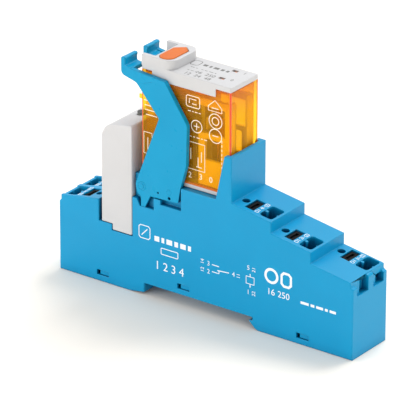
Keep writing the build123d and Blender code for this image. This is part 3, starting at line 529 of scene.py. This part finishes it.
def markCover():
    face = Plane((0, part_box("relay_cover")[0].y, 0), (1, 0, 0), (0, 0, 1))
    lines = [frameLine(-6.9, 58.4, -2.5, 61.6, 0.4), [(-5.9, 59.4), (-5.9, 60.7), (-3.6, 60.7)]]
    lines += [[(-5.0, 59.4), (-3.5, 59.4)]]
    lines += dashes(-6.3, 57.2, (0.9, 0.5, 0.9, 0.7), 0.4)
    lines += [[(0.3, 59.0), (4.7, 59.0), (4.7, 60.2), (2.5, 62.2), (0.3, 60.2), (0.3, 59.0)]]
    lines += [[(1.4, 59.9), (3.6, 59.9)], ring(2.65, 56.25, 2.1), ring(2.65, 56.25, 1.1, 20)]
    lines += [ring(2.68, 52.0, 2.0), [(1.7, 52.0), (3.6, 52.0)]]
    lines += [ring(-3.5, 53.2, 1.75), [(-3.5, 52.2), (-3.5, 54.2)], [(-4.4, 53.2), (-2.6, 53.2)]]
    lines += dashes(-5.9, 50.0, (0.8, 0.6, 1.0, 0.5, 0.9), 0.5)
    lines += [frameLine(-6.3, 40.6, -0.8, 48.4), [(-5.4, 43.4), (-5.4, 46.6)], [(-3.0, 44.4), (-3.0, 41.6)]]
    lines += [[(-3.6, 41.6), (-1.8, 41.6)], [(-1.9, 43.2), (-1.9, 46.2)]]
    lines += [[(4.75, 43.0 + 1.25 * i), (4.75, 43.7 + 1.25 * i)] for i in range(7)]
    lines += [[(-20.8 + 0.2 * i, 56.6 - 1.35 * i), (-17.4 + 0.3 * i, 56.6 - 1.35 * i)] for i in range(4)]
    lines += [frameLine(-20.9, 41.2, -18.2, 47.4), [(-19.6, 42.4), (-19.6, 45.9)]]
    digit = coverMarks["digit"]
    texts = [("2", -5.65, 38.7, digit), ("3", -2.1, 38.9, digit), ("0", 1.2, 38.9, digit)]
    printed("print_cover", face, lines, coverMarks["line"], texts, creamPrint, "relay")


# marks on the cap's flat top, which stands above the cover's
capMarks = {"above": 1.47, "bold": 1.15, "line": 0.25, "digit": 1.5, "small": 1.2}


def markCap():
    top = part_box("relay_cover")[1].z + capMarks["above"] * mm
    face = Plane((0, 0, top), (1, 0, 0), (0, 1, 0))
    bars = dashes(-7.5, 2.5, (1.3, 0.7, 1.6, 1.0, 0.8), 0.7)
    printed("print_cap_bars", face, bars, capMarks["bold"], [], greyPrint, "relay")
    lines = [frameLine(-11.2, 1.0, -8.6, 4.0, 0.5)]
    lines += dashes(-9.6, -0.4, (1.2, 0.5), 0.5) + dashes(-6.2, -0.4, (0.7, 0.9, 1.4, 0.5), 0.45)
    lines += dashes(-9.2, -2.5, (0.6, 0.9, 0.6, 0.5), 0.5)
    digit, small = capMarks["digit"], capMarks["small"]
    texts = [("16  250", -3.4, -2.5, digit), ("12  24  48", -4.4, -4.7, digit), ("0", 4.6, -1.6, small),
             ("1", 4.8, 4.0, small)]
    printed("print_cap_lines", face, lines, capMarks["line"], texts, greyPrint, "relay")


clipMarks = {"inset": 0.09, "line": 0.12}


def markClip():
    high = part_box("retaining_clip")[1]
    face = Plane((0, -high.y + clipMarks["inset"] * mm, 0), (1, 0, 0), (0, 0, 1))
    lines = [[(-20.1, 61.9), (-17.0, 63.0)], ring(-20.55, 32.0, 1.25, 28), ring(-11.5, 32.5, 0.75, 20)]
    printed("clip_moulded_lines", face, lines, clipMarks["line"], [], finishes["clip_blue"], "clip")


# a thin darker line round the test button's top: painted shade standing in for the shade of a moulded line
groove = {"radius": 1.55, "near": -3.4, "far": 3.35, "tipSide": 1.3, "tip": 0.3, "otherSide": 1.7,
          "line": 0.16}


def markButton():
    low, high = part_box("test_button")
    face = Plane(((low.x + high.x) / 2, 0, high.z), (1, 0, 0), (0, 1, 0))
    r, near, far = groove["radius"], groove["near"], groove["far"]
    turns = [math.pi + math.pi * i / 10 for i in range(11)]
    line = [(r * math.cos(a), near + r * math.sin(a)) for a in turns]
    line += [(r, far - groove["tipSide"]), (groove["tip"], far), (-r, far - groove["otherSide"])]
    printed("button_groove_shade", face, [line + line[:1]], groove["line"], [], grooveShadeOrange, "test_key")


lensFace = {"radius": 1.42, "thick": 0.1}


def markLamp():
    low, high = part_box("module_lens")
    bm = bmesh.new()
    bmesh.ops.create_circle(bm, cap_ends=True, radius=lensFace["radius"] * mm, segments=40)
    disc = bmesh.ops.extrude_face_region(bm, geom=bm.faces[:])
    raised = [v for v in disc["geom"] if isinstance(v, bmesh.types.BMVert)]
    bmesh.ops.translate(bm, verts=raised, vec=(0, 0, lensFace["thick"] * mm))
    bmesh.ops.recalc_face_normals(bm, faces=bm.faces)
    bm.transform(Matrix.Translation(((low.x + high.x) / 2, (low.y + high.y) / 2, high.z)))
    addPiece("lens_face", meshOf("lens_face", bm), lampMark, "module")


markSide()
for number in deckLabels["texts"]:
    markDeck(number)
markCover()
markCap()
markClip()
markButton()
markLamp()
print("marks printed")


# the camera: where it stands, its three directions, and its lens
view = {"place": (0.67663, -0.93645, 0.55304), "right": (0.80837, 0.58867, 0.00270),
        "up": (-0.24567, 0.33319, 0.91029), "back": (0.53496, -0.73652, 0.41396), "lens": 407.38}


def placeCamera():
    cam = bpy.data.objects.new("camera", bpy.data.cameras.new("camera"))
    bpy.context.scene.collection.objects.link(cam)
    rows = [[view["right"][i], view["up"][i], view["back"][i], view["place"][i]] for i in range(3)]
    cam.matrix_world = Matrix(rows + [[0, 0, 0, 1]])
    cam.data.lens, cam.data.sensor_width, cam.data.clip_end = view["lens"], 36, 20
    bpy.context.scene.camera = cam


def makeFloor(reach=3.0):
    mesh = bpy.data.meshes.new("floor")
    corners = [(-reach, -reach, 0), (reach, -reach, 0), (reach, reach, 0), (-reach, reach, 0)]
    mesh.from_pydata(corners, [], [(0, 1, 2, 3)])
    obj = bpy.data.objects.new("floor", mesh)
    bpy.context.scene.collection.objects.link(obj)
    f = Finish("floorWhite")
    shade = f.mix(f.noise(3, 2), tint(255, 249, 240), tint(253, 247, 238))
    mesh.materials.append(f.done(f.surface(Base_Color=shade, Roughness=0.9 + f.noise(40, 2) * 0.05)))


# place, aim, width and height in metres, then power
lights = {
    "key": ((0.08, 0.46, 0.80), (0, 0, 0.03), (0.45, 0.45), 5.0),
    "front": ((-0.30, -0.36, 0.09), (-0.06, 0, 0.02), (0.20, 0.12), 0.65),
    "end": ((0.42, -0.12, 0.06), (0.05, 0, 0.0), (0.20, 0.06), 0.3),
}


def hangLight(name, place, aim, size, power):
    data = bpy.data.lights.new(name, "AREA")
    data.shape, data.size, data.size_y, data.energy = "RECTANGLE", size[0], size[1], power
    obj = bpy.data.objects.new(name, data)
    bpy.context.scene.collection.objects.link(obj)
    obj.location = place
    obj.rotation_euler = (Vector(aim) - Vector(place)).to_track_quat("-Z", "Y").to_euler()


placeCamera()
makeFloor()
for name, settings in lights.items():
    hangLight(name, *settings)

sky = {"strength": 0.82, "fall": 0.25}  # the room is darker towards +x


def lightRoom():
    world = bpy.data.worlds.new("world")
    bpy.context.scene.world = world
    world.use_nodes = True
    tree = world.node_tree
    way = tree.nodes.new("ShaderNodeTexCoord")
    parts = tree.nodes.new("ShaderNodeSeparateXYZ")
    tree.links.new(way.outputs["Generated"], parts.inputs[0])
    strength = sky["strength"] - Sock(tree, parts.outputs[0]) * sky["fall"]
    tree.nodes["Background"].inputs["Color"].default_value = (1, 1, 1, 1)
    tree.links.new(strength.out, tree.nodes["Background"].inputs["Strength"])


lightRoom()
bpy.context.scene.view_settings.view_transform = "Standard"
print("camera and light set")
